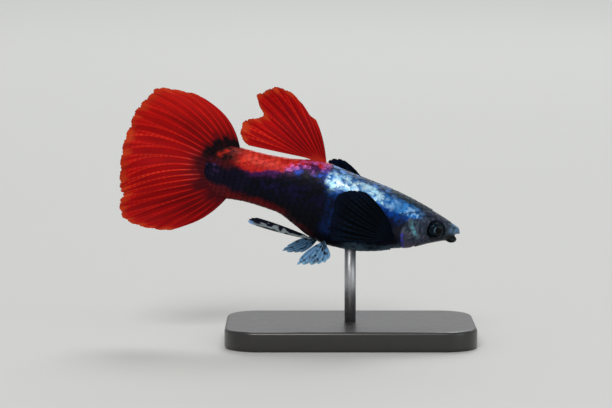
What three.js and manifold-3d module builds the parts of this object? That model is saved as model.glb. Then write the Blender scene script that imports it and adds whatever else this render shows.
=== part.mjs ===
// A life-size male fancy guppy on a plain display stand, in millimetres, +Z up.
// The fish is modelled level in its own frame and then pitched nose down by one group:
// x runs from the tail base (0) to the snout, y is across the body (its right side is -y), z is up its back.
import * as THREE from "three";
import { mergeVertices } from "three/addons/utils/BufferGeometryUtils.js";
import Module from "manifold-3d";

const wasm = await Module();
wasm.setup();

const degrees = Math.PI / 180;
const gap = 0.3; // between neighbouring pieces

// Where the fish hangs over the base, and how far it points down.
const tailBase = new THREE.Vector3(-15.4, 0, 20.6);
const nosePitch = 15.2 * degrees;

// The body at each station: back above the axis, belly below it, half its width.
const snoutX = 29;
const stations = [
  { x: 1.0, back: 3.15, belly: 3.2, half: 1.0 },
  { x: 4.0, back: 3.2, belly: 2.9, half: 1.25 },
  { x: 7.5, back: 3.5, belly: 3.05, half: 1.6 },
  { x: 10.0, back: 4.0, belly: 3.95, half: 1.95 },
  { x: 12.0, back: 4.2, belly: 4.8, half: 2.2 },
  { x: 14.5, back: 3.9, belly: 5.3, half: 2.45 },
  { x: 17.5, back: 3.55, belly: 5.15, half: 2.55 },
  { x: 20.0, back: 3.25, belly: 4.6, half: 2.5 },
  { x: 22.5, back: 2.8, belly: 3.65, half: 2.35 },
  { x: 24.5, back: 2.3, belly: 2.85, half: 2.1 },
  { x: 26.5, back: 1.75, belly: 1.85, half: 1.75 },
  { x: 28.0, back: 1.25, belly: 1.15, half: 1.35 },
  { x: snoutX, back: 0.75, belly: 0.75, half: 0.95 },
];
const tailCap = 3.2; // the flesh ends in this radius over the tail fin's root
const headEdge = { top: 23.6, middle: 21, bottom: 24 }; // the gill openings' bowed line
const stalkCutX = 7.9; // front of the tail stalk
const tailSweep = 1.1; // how far the tail base swings to the fish's left
const headSweep = 0.35;
const straightX = 15; // the body lies on its mid plane here

const eyeSpot = { x: 26.55, y: 1.24, z: -0.1, long: 1.0, deep: 0.66, tall: 0.95, turn: 14 * degrees };
const gillCover = { x: 24, z: -1.2, long: 1.05, tall: 1.65, thick: 0.6, proud: 0.14 };

const standBase = { long: 30, wide: 18, thick: 2.4, corner: 4, bevel: 0.4 };
const standRod = { x: 0, radius: 0.7, sides: 20 };

const colours = {
  darkFlesh: new THREE.Color(0.05, 0.06, 0.12),
  blueFlesh: new THREE.Color(0.22, 0.48, 0.72),
  redFlesh: new THREE.Color(0.45, 0.03, 0.03),
  redFin: new THREE.Color(0.62, 0.02, 0.02),
  blackFin: new THREE.Color(0.01, 0.012, 0.02),
  paleFin: new THREE.Color(0.3, 0.45, 0.75),
  eye: new THREE.Color(0.015, 0.02, 0.02),
  stand: new THREE.Color(0.06, 0.055, 0.05),
  steel: new THREE.Color(0.6, 0.6, 0.62),
};

// A smooth line through [x, value] pairs that never overshoots them.
function smoothLine(pairs) {
  const last = pairs.length - 1;
  const slope = pairs.slice(1).map((p, i) => (p[1] - pairs[i][1]) / (p[0] - pairs[i][0]));
  const tangent = pairs.map((_, i) => {
    if (i === 0 || i === last) return slope[Math.min(i, last - 1)];
    const [before, after] = [slope[i - 1], slope[i]];
    return before * after <= 0 ? 0 : (2 * before * after) / (before + after);
  });
  return (x) => {
    const clamped = Math.min(Math.max(x, pairs[0][0]), pairs[last][0]);
    const i = Math.min(Math.max(pairs.findIndex((p) => p[0] >= clamped) - 1, 0), last - 1);
    const width = pairs[i + 1][0] - pairs[i][0];
    const t = (clamped - pairs[i][0]) / width;
    return (
      (1 + 2 * t) * (1 - t) ** 2 * pairs[i][1] +
      t * (1 - t) ** 2 * width * tangent[i] +
      t * t * (3 - 2 * t) * pairs[i + 1][1] +
      t * t * (t - 1) * width * tangent[i + 1]
    );
  };
}

const backLine = smoothLine(stations.map((s) => [s.x, s.back]));
const bellyLine = smoothLine(stations.map((s) => [s.x, s.belly]));
const halfLine = smoothLine(stations.map((s) => [s.x, s.half]));
const roundTail = (x) => (x >= 1 ? 1 : Math.sqrt(Math.max(0, 1 - ((1 - x) / tailCap) ** 2)));
const backAt = (x) => backLine(x) * roundTail(x);
const bellyAt = (x) => bellyLine(x) * roundTail(x);
const halfAt = (x) => halfLine(x) * (x >= 1 ? 1 : 0.3 + 0.7 * roundTail(x) ** 0.8);

// The gentle sideways bend of a swimming fish.
function sweepAt(x) {
  const tail = Math.max(0, straightX - x) / straightX;
  const head = Math.max(0, x - straightX) / (snoutX - straightX);
  return tailSweep * tail ** 2 + headSweep * head ** 2;
}

// Half the body's width at a place on its side.
function sideAt(x, z) {
  const height = z > 0 ? backAt(x) : bellyAt(x);
  return halfAt(x) * Math.sqrt(Math.max(0, 1 - (z / height) ** 2));
}

// Turns a mesh's positions and faces into a solid, and a solid into a mesh's geometry.
function solidOf(geometry) {
  const bare = geometry.clone();
  bare.deleteAttribute("normal");
  bare.deleteAttribute("uv");
  const merged = mergeVertices(bare, 1e-4);
  return new wasm.Manifold(
    new wasm.Mesh({
      numProp: 3,
      vertProperties: new Float32Array(merged.attributes.position.array),
      triVerts: new Uint32Array(merged.index.array),
    }),
  );
}

function geometryOf(solid) {
  const pieces = solid.decompose().sort((a, b) => b.volume() - a.volume());
  const mesh = pieces[0].getMesh();
  const geometry = new THREE.BufferGeometry();
  geometry.setAttribute("position", new THREE.BufferAttribute(new Float32Array(mesh.vertProperties), 3));
  geometry.setIndex(new THREE.BufferAttribute(new Uint32Array(mesh.triVerts), 1));
  geometry.computeVertexNormals();
  return geometry;
}

// A closed skin over rings of points, each ring running the same way round, capped at both ends.
function skinOver(rings) {
  const around = rings[0].length;
  const points = rings.flat();
  const faces = [];
  for (let i = 0; i + 1 < rings.length; i++) {
    for (let j = 0; j < around; j++) {
      const [a, b] = [i * around + j, i * around + ((j + 1) % around)];
      const [c, d] = [a + around, b + around];
      faces.push(a, c, b, b, c, d);
    }
  }
  for (const [ring, turned] of [[0, false], [rings.length - 1, true]]) {
    const middle = new THREE.Vector3();
    rings[ring].forEach((p) => middle.add(p));
    points.push(middle.divideScalar(around));
    for (let j = 0; j < around; j++) {
      const [a, b] = [ring * around + j, ring * around + ((j + 1) % around)];
      faces.push(...(turned ? [points.length - 1, b, a] : [points.length - 1, a, b]));
    }
  }
  const geometry = new THREE.BufferGeometry().setFromPoints(points);
  geometry.setIndex(faces);
  return solidOf(geometry);
}

function ellipsoid(radii, place, turnY = 0, turnZ = 0, wide = 18, high = 12) {
  const ball = new THREE.SphereGeometry(1, wide, high);
  ball.scale(radii[0], radii[1], radii[2]);
  ball.rotateY(turnY);
  ball.rotateZ(turnZ);
  ball.translate(place[0], place[1], place[2]);
  return solidOf(ball);
}

function block(size, place) {
  const box = new THREE.BoxGeometry(size[0], size[1], size[2]);
  box.translate(place[0], place[1], place[2]);
  return solidOf(box);
}

// The whole body from tail base to snout, before it is parted.
function bodySolid() {
  const [lengthwise, around] = [44, 28];
  const first = 1 - tailCap * 0.995;
  const rings = [];
  for (let i = 0; i <= lengthwise; i++) {
    const t = i / lengthwise;
    const x = first + (snoutX - first) * (t < 0.1 ? t * t * 5 + t * 0.5 : t);
    const ring = [];
    for (let j = 0; j < around; j++) {
      const turn = (j / around) * 2 * Math.PI;
      const z = Math.cos(turn) * (Math.cos(turn) > 0 ? backAt(x) : bellyAt(x));
      ring.push(new THREE.Vector3(x, sweepAt(x) + Math.sin(turn) * halfAt(x), z));
    }
    rings.push(ring);
  }
  return skinOver(rings);
}

// A thin upright wall through the body, bowed towards the tail, that parts the head from the trunk.
function headCutter() {
  const outline = new THREE.Shape();
  const bow = new THREE.QuadraticBezierCurve(
    new THREE.Vector2(headEdge.top, 6),
    new THREE.Vector2(headEdge.middle, -1.4),
    new THREE.Vector2(headEdge.bottom, -7),
  );
  const line = bow.getPoints(10);
  line.forEach((p, i) => (i ? outline.lineTo(p.x, p.y) : outline.moveTo(p.x, p.y)));
  [...line].reverse().forEach((p) => outline.lineTo(p.x + gap, p.y));
  const wall = new THREE.ExtrudeGeometry(outline, { depth: 12, bevelEnabled: false, steps: 1 });
  wall.rotateX(Math.PI / 2);
  wall.translate(0, 6, 0);
  return solidOf(wall);
}

// A plate that follows the body's side, oval from the side, between two depths under the skin.
function sidePlate(side, margin, inner, outer) {
  const [rings, around] = [4, 20];
  const { x: midX, z: midZ, long, tall } = gillCover;
  const at = (ring, j, depth) => {
    const turn = (j / around) * 2 * Math.PI;
    const reach = ring / rings;
    const x = midX + Math.cos(turn) * (long + margin) * reach;
    const z = midZ + Math.sin(turn) * (tall + margin) * reach;
    return new THREE.Vector3(x, sweepAt(x) + side * (sideAt(x, z) + depth), z);
  };
  const points = [];
  const faces = [];
  for (const depth of [inner, outer]) {
    points.push(at(0, 0, depth));
    for (let ring = 1; ring <= rings; ring++) {
      for (let j = 0; j < around; j++) {
        const rounding = depth === outer && margin === 0 ? -0.12 * (ring / rings) ** 6 : 0;
        points.push(at(ring, j, depth + rounding));
      }
    }
  }
  const sheet = 1 + rings * around;
  const add = (a, b, c, turned) => faces.push(...(turned === side > 0 ? [a, b, c] : [a, c, b]));
  const spot = (layer, ring, j) => layer * sheet + (ring ? 1 + (ring - 1) * around + (j % around) : 0);
  for (const layer of [0, 1]) {
    for (let j = 0; j < around; j++) {
      add(spot(layer, 0, 0), spot(layer, 1, j), spot(layer, 1, j + 1), layer === 0);
      for (let ring = 1; ring < rings; ring++) {
        add(spot(layer, ring, j), spot(layer, ring + 1, j), spot(layer, ring + 1, j + 1), layer === 0);
        add(spot(layer, ring, j), spot(layer, ring + 1, j + 1), spot(layer, ring, j + 1), layer === 0);
      }
    }
  }
  for (let j = 0; j < around; j++) {
    add(spot(0, rings, j), spot(1, rings, j + 1), spot(0, rings, j + 1), true);
    add(spot(0, rings, j), spot(1, rings, j), spot(1, rings, j + 1), true);
  }
  const geometry = new THREE.BufferGeometry().setFromPoints(points);
  geometry.setIndex(faces);
  return solidOf(geometry);
}

const eyeball = (side, spare) =>
  ellipsoid(
    [eyeSpot.long + spare, eyeSpot.deep + spare, eyeSpot.tall + spare],
    [eyeSpot.x, sweepAt(eyeSpot.x) + side * eyeSpot.y, eyeSpot.z],
    0,
    -side * eyeSpot.turn,
  );

// The two jaws stand a little open in front of the snout.
const upperLip = { x: 28.72, z: 0.42, long: 0.78, half: 0.95, tall: 0.42, turn: 30 * degrees };
const lowerJaw = { x: 28.55, z: -0.88, long: 0.92, half: 0.88, tall: 0.46, turn: 8 * degrees };
const jawBall = (jaw, spare) =>
  ellipsoid(
    [jaw.long + spare, jaw.half + spare, jaw.tall + spare],
    [jaw.x, sweepAt(jaw.x), jaw.z],
    jaw.turn,
  );

function eyeRim(side) {
  const rim = new THREE.TorusGeometry(1, 0.1, 5, 20);
  rim.rotateX(Math.PI / 2);
  rim.scale(eyeSpot.long + gap + 0.02, 1.6, eyeSpot.tall + gap + 0.02);
  rim.rotateZ(-side * eyeSpot.turn);
  rim.translate(eyeSpot.x, sweepAt(eyeSpot.x) + side * (eyeSpot.y + 0.3), eyeSpot.z);
  return solidOf(rim);
}

function headSolid(whole) {
  let head = whole.add(jawBall(upperLip, 0));
  for (const side of [-1, 1]) {
    head = head.add(eyeRim(side));
    head = head.subtract(eyeball(side, gap));
    head = head.subtract(sidePlate(side, gap, -gillCover.thick + gillCover.proud - gap, 2));
    const nostril = [28.25, sweepAt(28.25) + side * 0.52, 1.12];
    head = head.subtract(ellipsoid([0.17, 0.13, 0.22], nostril, 0, 0, 8, 6));
  }
  return head.subtract(jawBall(lowerJaw, gap));
}

// A fin of bowed rays in its own plane: each ray leaves the root line at an angle and ends on the margin.
// Every other line of the grid is a ray's ridge, and both faces are split into triangles alike.
function finSolid({ root, margin, leaving, bow, rays, rows, thick, edge, ridge, bend, scallop = 0.02 }) {
  const marginCurve = new THREE.SplineCurve(margin.map(([x, z]) => new THREE.Vector2(x, z)));
  const rootCurve = new THREE.SplineCurve(root.map(([x, z]) => new THREE.Vector2(x, z)));
  const columns = rays * 2;
  const points = [];
  for (const face of [-1, 1]) {
    for (let i = 0; i <= columns; i++) {
      const a = i / columns;
      const start = rootCurve.getPoint(a);
      const end = marginCurve.getPoint(a);
      const isRay = i % 2 === 1;
      end.lerp(start, isRay ? 0 : scallop);
      const way = (leaving[0] + (leaving[1] - leaving[0]) * a) * degrees;
      const reach = start.distanceTo(end) * bow;
      const turnAt = new THREE.Vector2(start.x + Math.cos(way) * reach, start.y + Math.sin(way) * reach);
      const ray = new THREE.QuadraticBezierCurve(start, turnAt, end);
      for (let j = 0; j <= rows; j++) {
        const t = j / rows;
        const p = ray.getPoint(t);
        const half = (thick + (edge - thick) * t) / 2 + (isRay ? ridge * (1 - 0.6 * t) : 0);
        points.push(new THREE.Vector3(p.x, bend(p.x, p.y) + face * half, p.y));
      }
    }
  }
  const sheet = (columns + 1) * (rows + 1);
  const spot = (face, i, j) => face * sheet + i * (rows + 1) + j;
  const faces = [];
  const add = (a, b, c, turned) => faces.push(...(turned ? [a, c, b] : [a, b, c]));
  for (const face of [0, 1]) {
    for (let i = 0; i < columns; i++) {
      for (let j = 0; j < rows; j++) {
        add(spot(face, i, j), spot(face, i + 1, j), spot(face, i + 1, j + 1), face === 1);
        add(spot(face, i, j), spot(face, i + 1, j + 1), spot(face, i, j + 1), face === 1);
      }
    }
  }
  const rim = [];
  for (let i = 0; i < columns; i++) rim.push([i, 0]);
  for (let j = 0; j < rows; j++) rim.push([columns, j]);
  for (let i = columns; i > 0; i--) rim.push([i, rows]);
  for (let j = rows; j > 0; j--) rim.push([0, j]);
  rim.forEach(([i, j], n) => {
    const [k, l] = rim[(n + 1) % rim.length];
    add(spot(0, i, j), spot(1, i, j), spot(1, k, l), false);
    add(spot(0, i, j), spot(1, k, l), spot(0, k, l), false);
  });
  const geometry = new THREE.BufferGeometry().setFromPoints(points);
  geometry.setIndex(faces);
  const solid = solidOf(geometry);
  if (solid.volume() > 0) return solid;
  geometry.setIndex(faces.map((_, n) => faces[n - (n % 3) + [0, 2, 1][n % 3]]));
  return solidOf(geometry);
}

// The tail fin wraps the rounded end of the flesh, and bends on a little further than the body does.
const tailRootRadius = tailCap + gap;
const tailRoot = Array.from({ length: 9 }, (_, i) => {
  const turn = (86 + (188 / 8) * i) * degrees;
  return [1 + Math.cos(turn) * tailRootRadius, Math.sin(turn) * tailRootRadius * 1.02];
});
const tailFin = () =>
  finSolid({
    root: tailRoot,
    margin: [
      [-3.3, 7.4], [-5.5, 7.9], [-8.2, 7.75], [-10.2, 7.3], [-10.8, 6.1], [-11.7, 4.6], [-12.25, 2.8],
      [-12.45, 0.6], [-12.25, -2.0], [-11.7, -4.6], [-11.3, -5.8], [-10.85, -6.3], [-11.05, -7.3],
      [-10.4, -8.8], [-8.6, -9.35], [-6.0, -9.25], [-4.1, -8.75], [-2.9, -7.95],
    ],
    leaving: [112, 246],
    bow: 0.5,
    rays: 18,
    rows: 10,
    thick: 0.6,
    edge: 0.42,
    ridge: 0.1,
    bend: (x, z) => sweepAt(x) + 0.28 * Math.sin(z * 0.75 + 0.4) * Math.min(1, Math.max(0, (0.5 - x) / 8)),
  });

const dorsalFin = () =>
  finSolid({
    root: [[11.75, backAt(11.75) + gap], [10.4, backAt(10.4) + gap + 0.02], [8.8, backAt(8.8) + gap + 0.05]],
    margin: [
      [9.25, 8.95], [8.5, 9.15], [7.0, 10.4], [5.3, 11.3], [3.5, 11.3], [2.6, 10.6], [1.75, 9.8], [2.3, 8.7],
      [3.05, 7.55], [1.75, 6.9], [0.95, 6.5], [0.85, 5.4], [1.25, 4.35], [2.2, 3.7],
    ],
    leaving: [108, 184],
    bow: 0.5,
    rays: 11,
    rows: 8,
    thick: 0.6,
    edge: 0.42,
    ridge: 0.09,
    bend: (x, z) => sweepAt(x) + 0.22 * Math.sin((z - x) * 0.5) * Math.min(1, Math.max(0, (z - 4) / 4)),
  });

// The breast fins: the right one is spread, the left one half folded and raised above the back.
// Each is made round its own root, then turned out and up.
const breastFins = {
  right: {
    x: 21.3, z: -1.8, splay: 27 * degrees, lift: 7 * degrees, leaving: [140, 205],
    margin: [
      [-5.1, 3.65], [-6.4, 3.5], [-7.8, 3.1], [-8.9, 2.4], [-9.25, 1.5], [-9.0, 0], [-8.4, -1.7], [-7.5, -3.1],
    ],
  },
  left: {
    x: 20.9, z: -1.7, splay: 14 * degrees, lift: 35 * degrees, leaving: [165, 195],
    margin: [
      [-6.0, 1.5], [-8.0, 1.6], [-9.7, 1.1], [-10.4, -0.1], [-9.9, -1.3], [-8.2, -2.1], [-6.2, -2.3],
    ],
  },
};
const breastFinSolid = ({ leaving, margin }) =>
  finSolid({
    root: [[0.12, 0.85], [0, 0], [-0.05, -0.85]],
    margin,
    leaving,
    bow: 0.5,
    rays: 9,
    rows: 7,
    thick: 0.56,
    edge: 0.42,
    ridge: 0.08,
    bend: (x, z) => 0.02 * (z * z) - 0.012 * x * x,
  });

const bellyFins = {
  right: {
    x: 14, leaving: [318, 215],
    margin: [[1.25, -1.1], [0.8, -1.9], [-0.1, -2.45], [-1.3, -2.8], [-2.4, -3.0], [-2.1, -1.8]],
  },
  left: {
    x: 12.7, leaving: [262, 205],
    margin: [[-0.6, -2.2], [-1.7, -2.7], [-3.1, -2.95], [-2.75, -2.1], [-2.1, -1.2]],
  },
};
const bellyFinRoot = { y: 0.85, splay: 24 * degrees };
const bellyFinSolid = ({ leaving, margin }) =>
  finSolid({
    root: [[0.6, 0], [-0.6, 0.05]],
    margin,
    leaving,
    bow: 0.4,
    rays: 5,
    rows: 5,
    thick: 0.56,
    edge: 0.4,
    ridge: 0.07,
    bend: (x, z) => 0.03 * x * z,
  });

// The male's anal fin is drawn out into a rod of a few long rays.
const analFin = () =>
  finSolid({
    root: [[12.1, -bellyAt(12.1) - gap - 0.12], [10.9, -bellyAt(10.9) - gap - 0.12]],
    margin: [[4.9, -5.35], [4.6, -5.05], [4.9, -4.65], [5.6, -4.4]],
    leaving: [186, 172],
    bow: 0.45,
    rays: 4,
    rows: 8,
    thick: 0.6,
    edge: 0.42,
    ridge: 0.08,
    scallop: 0.03,
    bend: (x) => sweepAt(x),
  });

function flatBase() {
  const { long, wide, thick, corner, bevel } = standBase;
  const [x, y] = [long / 2 - bevel, wide / 2 - bevel];
  const outline = new THREE.Shape();
  outline.moveTo(-x + corner, -y);
  outline.lineTo(x - corner, -y);
  outline.absarc(x - corner, -y + corner, corner, -Math.PI / 2, 0);
  outline.lineTo(x, y - corner);
  outline.absarc(x - corner, y - corner, corner, 0, Math.PI / 2);
  outline.lineTo(-x + corner, y);
  outline.absarc(-x + corner, y - corner, corner, Math.PI / 2, Math.PI);
  outline.lineTo(-x, -y + corner);
  outline.absarc(-x + corner, -y + corner, corner, Math.PI, Math.PI * 1.5);
  const plate = new THREE.ExtrudeGeometry(outline, {
    depth: thick - 2 * bevel,
    bevelThickness: bevel,
    bevelSize: bevel,
    bevelSegments: 1,
    curveSegments: 5,
  });
  plate.translate(0, 0, bevel);
  return solidOf(plate);
}

// The rod ends under the belly, a gap below the skin.
function uprightRod() {
  const bottom = standBase.thick + gap;
  const along = (standRod.x - tailBase.x + Math.sin(nosePitch) * bellyAt(17)) / Math.cos(nosePitch);
  const skin = tailBase.z - along * Math.sin(nosePitch) - bellyAt(along) * Math.cos(nosePitch);
  const top = skin - gap - 0.15;
  const rod = new THREE.CylinderGeometry(standRod.radius, standRod.radius, top - bottom, standRod.sides);
  rod.rotateX(Math.PI / 2);
  rod.translate(standRod.x, sweepAt(along), (top + bottom) / 2);
  return solidOf(rod);
}

function mesh(name, solid, color, roughness = 0.4, metalness = 0) {
  const made = new THREE.Mesh(
    geometryOf(solid),
    new THREE.MeshStandardMaterial({ color, roughness, metalness }),
  );
  made.name = name;
  return made;
}

const fish = new THREE.Group();
fish.position.copy(tailBase);
fish.rotation.y = nosePitch;

const whole = bodySolid();
const parted = whole.subtract(headCutter());
const behindHead = parted.decompose().sort((a, b) => b.volume() - a.volume());
const [trunkAndStalk, headPiece] = [behindHead[0], behindHead[1]];
const stalkCut = block([gap, 20, 30], [stalkCutX, 0, 0]);
const [trunk, stalk] = trunkAndStalk
  .subtract(stalkCut)
  .decompose()
  .sort((a, b) => b.volume() - a.volume());

fish.add(mesh("head", headSolid(headPiece), colours.darkFlesh, 0.35));
fish.add(mesh("trunk", trunk, colours.blueFlesh, 0.3, 0.4));
fish.add(mesh("tail_stalk", stalk, colours.redFlesh, 0.35));
fish.add(mesh("jaw_lower", jawBall(lowerJaw, 0), colours.blackFin, 0.4));
fish.add(mesh("fin_tail", tailFin(), colours.redFin, 0.5));
fish.add(mesh("fin_dorsal", dorsalFin(), colours.redFin, 0.5));
fish.add(mesh("fin_anal", analFin(), colours.paleFin, 0.5));

for (const [side, name] of [[-1, "right"], [1, "left"]]) {
  fish.add(mesh("eye_" + name, eyeball(side, 0), colours.eye, 0.1));
  const plate = sidePlate(side, 0, -gillCover.thick + gillCover.proud, gillCover.proud);
  fish.add(mesh("gill_cover_" + name, plate, colours.darkFlesh, 0.3, 0.3));

  const spread = breastFins[name];
  const breast = mesh("fin_breast_" + name, breastFinSolid(spread), colours.blackFin, 0.5);
  const rootSide = sideAt(spread.x, spread.z) + gap + 0.42;
  breast.position.set(spread.x, sweepAt(spread.x) + side * rootSide, spread.z);
  breast.rotation.set(0, spread.lift, -side * spread.splay, "ZYX");
  fish.add(breast);

  const hung = bellyFins[name];
  const under = mesh("fin_belly_" + name, bellyFinSolid(hung), colours.paleFin, 0.5);
  const rootZ = -bellyAt(hung.x) * Math.sqrt(1 - (bellyFinRoot.y / halfAt(hung.x)) ** 2);
  under.position.set(hung.x, sweepAt(hung.x) + side * (bellyFinRoot.y + 0.15), rootZ - gap - 0.2);
  under.rotation.x = side * bellyFinRoot.splay;
  fish.add(under);
}

const model = new THREE.Group();
model.add(fish);
model.add(mesh("stand_base", flatBase(), colours.stand, 0.4));
model.add(mesh("stand_rod", uprightRod(), colours.steel, 0.25, 1));

export default model;
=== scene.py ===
import math

import bmesh
import bpy
import numpy as np
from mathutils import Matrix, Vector


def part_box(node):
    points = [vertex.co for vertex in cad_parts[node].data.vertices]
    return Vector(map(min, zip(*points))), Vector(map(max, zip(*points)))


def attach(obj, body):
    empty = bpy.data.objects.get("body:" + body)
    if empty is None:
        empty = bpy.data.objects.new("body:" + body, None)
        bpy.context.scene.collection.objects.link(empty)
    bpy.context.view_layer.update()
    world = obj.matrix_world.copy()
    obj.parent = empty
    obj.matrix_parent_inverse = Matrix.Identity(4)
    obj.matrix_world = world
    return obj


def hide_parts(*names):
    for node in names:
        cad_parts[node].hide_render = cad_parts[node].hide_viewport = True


# A male fancy guppy, life size, on a plain display stand.
# The fish is shaped level in its own frame, in millimetres: x from tail base to snout, y to its left, z up.

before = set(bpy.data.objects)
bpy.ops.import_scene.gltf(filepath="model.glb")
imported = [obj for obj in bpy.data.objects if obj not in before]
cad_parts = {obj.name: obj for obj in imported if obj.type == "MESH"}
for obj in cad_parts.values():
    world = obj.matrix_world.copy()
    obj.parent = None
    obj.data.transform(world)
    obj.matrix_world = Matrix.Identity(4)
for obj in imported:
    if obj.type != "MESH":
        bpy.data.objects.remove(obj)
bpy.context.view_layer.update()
print("frame loaded,", len(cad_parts), "solids")

pose = {
    "tailBase": (-15.4, 0.0, 20.6),
    "nosePitch": 15.2,  # degrees, nose down
}


# numbers and shapes

def turned(a, b, degrees):
    angle = math.radians(degrees)
    return a * math.cos(angle) - b * math.sin(angle), a * math.sin(angle) + b * math.cos(angle)


def toFrame(points):
    x, z = turned(points[:, 0], points[:, 2], -pose["nosePitch"])
    return (np.stack([x, points[:, 1], z], axis=-1) + np.array(pose["tailBase"])) * 0.001


def soft(start, end, value):
    # rises from 0 at start to 1 at end, or falls from 1 to 0 where the end comes before the start
    t = np.clip((value - start) / (end - start), 0, 1)
    return t * t * (3 - 2 * t)


def bell(value, width):
    return np.exp(-((value / width) ** 2))


def colour(red, green, blue):
    # screen values from 0 to 255, made linear
    c = np.array((red, green, blue)) / 255
    return np.where(c <= 0.04045, c / 12.92, ((c + 0.055) / 1.055) ** 2.4)


def layer(under, over, mask):
    return under + (colour(*over) - under) * np.clip(mask, 0, 1)[:, None]


def mottle(points, size, seed):
    # soft random patches from -0.5 to 0.5, about one size across
    p = points / size + np.array((seed * 7.31, seed * 3.17, seed * 5.77))
    cell = np.floor(p).astype(np.int64)
    f = p - cell
    f = f * f * (3 - 2 * f)
    primes = np.array((73856093, 19349663, 83492791))
    total = -0.5
    for corner in np.ndindex(2, 2, 2):
        n = np.bitwise_xor.reduce((cell + corner) * primes, axis=1)
        n = (n ^ (n >> 13)) * 1274126177 & 0x7FFFFFFF
        n = (n ^ (n >> 15)) & 0xFFFF
        total = total + n / 65535 * np.prod(np.where(corner, f, 1 - f), axis=1)
    return total


def smoothLine(pairs):
    # a smooth line through (x, value) pairs that never overshoots them
    xs, values = np.array(pairs, float).T
    step = np.diff(xs)
    slope = np.diff(values) / step
    both = slope[:-1] * slope[1:]
    inner = np.where(both > 0, 2 * both / np.where(both > 0, slope[:-1] + slope[1:], 1), 0)
    tangent = np.concatenate([slope[:1], inner, slope[-1:]])

    def lineAt(x):
        x = np.clip(x, xs[0], xs[-1])
        i = np.clip(np.searchsorted(xs, x) - 1, 0, len(step) - 1)
        t = (x - xs[i]) / step[i]
        return (
            (1 + 2 * t) * (1 - t) ** 2 * values[i]
            + t * (1 - t) ** 2 * step[i] * tangent[i]
            + t * t * (3 - 2 * t) * values[i + 1]
            + t * t * (t - 1) * step[i] * tangent[i + 1]
        )

    return lineAt


def throughPoints(points, t):
    # a curve through the points, t from 0 to 1
    points = np.array(points, float)
    last = len(points) - 1
    p = np.clip(t, 0, 1) * last
    i = np.minimum(np.floor(p).astype(int), last - 1)
    w = (p - i)[..., None]
    before, here = points[np.maximum(i - 1, 0)], points[i]
    there, after = points[i + 1], points[np.minimum(i + 2, last)]
    leave, arrive = (there - before) / 2, (after - here) / 2
    return (
        (2 * here - 2 * there + leave + arrive) * w**3
        + (-3 * here + 3 * there - 2 * leave - arrive) * w**2
        + leave * w
        + here
    )


def gridFaces(rows, columns, closed):
    # quads over rows of points, each row closed into a ring or left open
    i, j = np.meshgrid(np.arange(rows - 1), np.arange(columns if closed else columns - 1), indexing="ij")
    a = i * columns + j
    b = i * columns + (j + 1) % columns
    return np.stack([a, b, b + columns, a + columns], axis=-1).reshape(-1, 4)


def roundFaces(rows, columns):
    # faces of a ball of ring rows, closed by two pole points that come after them
    faces = gridFaces(rows, columns, True).tolist()
    last = (rows - 1) * columns
    for j in range(columns):
        k = (j + 1) % columns
        faces.append([rows * columns, k, j])
        faces.append([rows * columns + 1, last + j, last + k])
    return faces


def cappedFaces(rows, columns):
    # faces of ring rows with one flat face at each end
    last = (rows - 1) * columns
    caps = [list(range(columns))[::-1], list(range(last, last + columns))]
    return gridFaces(rows, columns, True).tolist() + caps


def addObject(name, data):
    thing = bpy.data.objects.new(name, data)
    bpy.context.scene.collection.objects.link(thing)
    return thing


def makePiece(
    name, points, faces, material, paint=None, pearl=None, bakeMap=None, inFish=True, sharpFrom=None
):
    mesh = bpy.data.meshes.new(name)
    places = toFrame(points) if inFish else points
    mesh.from_pydata(places.tolist(), [], [list(f) for f in faces])
    mesh.update()
    if paint is not None:
        full = np.hstack([paint, np.ones((len(paint), 1))]).astype(np.float32)
        mesh.attributes.new("paint", "FLOAT_COLOR", "POINT").data.foreach_set("color", full.ravel())
    if pearl is not None:
        mesh.attributes.new("pearl", "FLOAT", "POINT").data.foreach_set("value", pearl.astype(np.float32))
    if bakeMap is not None:
        corners = np.empty(len(mesh.loops), dtype=np.int32)
        mesh.loops.foreach_get("vertex_index", corners)
        uv = mesh.uv_layers.new(name="OFBake")
        uv.data.foreach_set("uv", bakeMap[corners].astype(np.float32).ravel())
    mesh.polygons.foreach_set("use_smooth", [True] * len(mesh.polygons))
    if sharpFrom is not None:
        mesh.set_sharp_from_angle(angle=math.radians(sharpFrom))
    mesh.materials.append(material)
    piece = addObject(name, mesh)
    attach(piece, "root")
    return piece


# materials

def newMaterial(name):
    material = bpy.data.materials.new(name)
    material.use_nodes = True
    tree = material.node_tree
    return material, tree.nodes, tree.links, tree.nodes["Principled BSDF"]


def grain(nodes, links, scale, detail=3, kind="ShaderNodeTexNoise"):
    place = nodes.new("ShaderNodeTexCoord")
    texture = nodes.new(kind)
    texture.inputs["Scale"].default_value = scale
    if "Detail" in texture.inputs:
        texture.inputs["Detail"].default_value = detail
    links.new(place.outputs["Object"], texture.inputs["Vector"])
    return texture


def setInputs(node, values):
    for key, value in values.items():
        node.inputs[key].default_value = value


def ranged(nodes, links, value, low, high):
    spread = nodes.new("ShaderNodeMapRange")
    setInputs(spread, {"To Min": low, "To Max": high})
    links.new(value, spread.inputs["Value"])
    return spread.outputs["Result"]


def addSurface(nodes, links, shader, cloud, height, settings, distance):
    # gloss that varies with the cloudy grain, and a fine relief
    low, high = settings["roughness"]
    links.new(ranged(nodes, links, cloud.outputs["Fac"], low, high), shader.inputs["Roughness"])
    bump = nodes.new("ShaderNodeBump")
    setInputs(bump, {"Strength": settings["bump"], "Distance": distance})
    links.new(height, bump.inputs["Height"])
    links.new(bump.outputs["Normal"], shader.inputs["Normal"])


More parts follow.
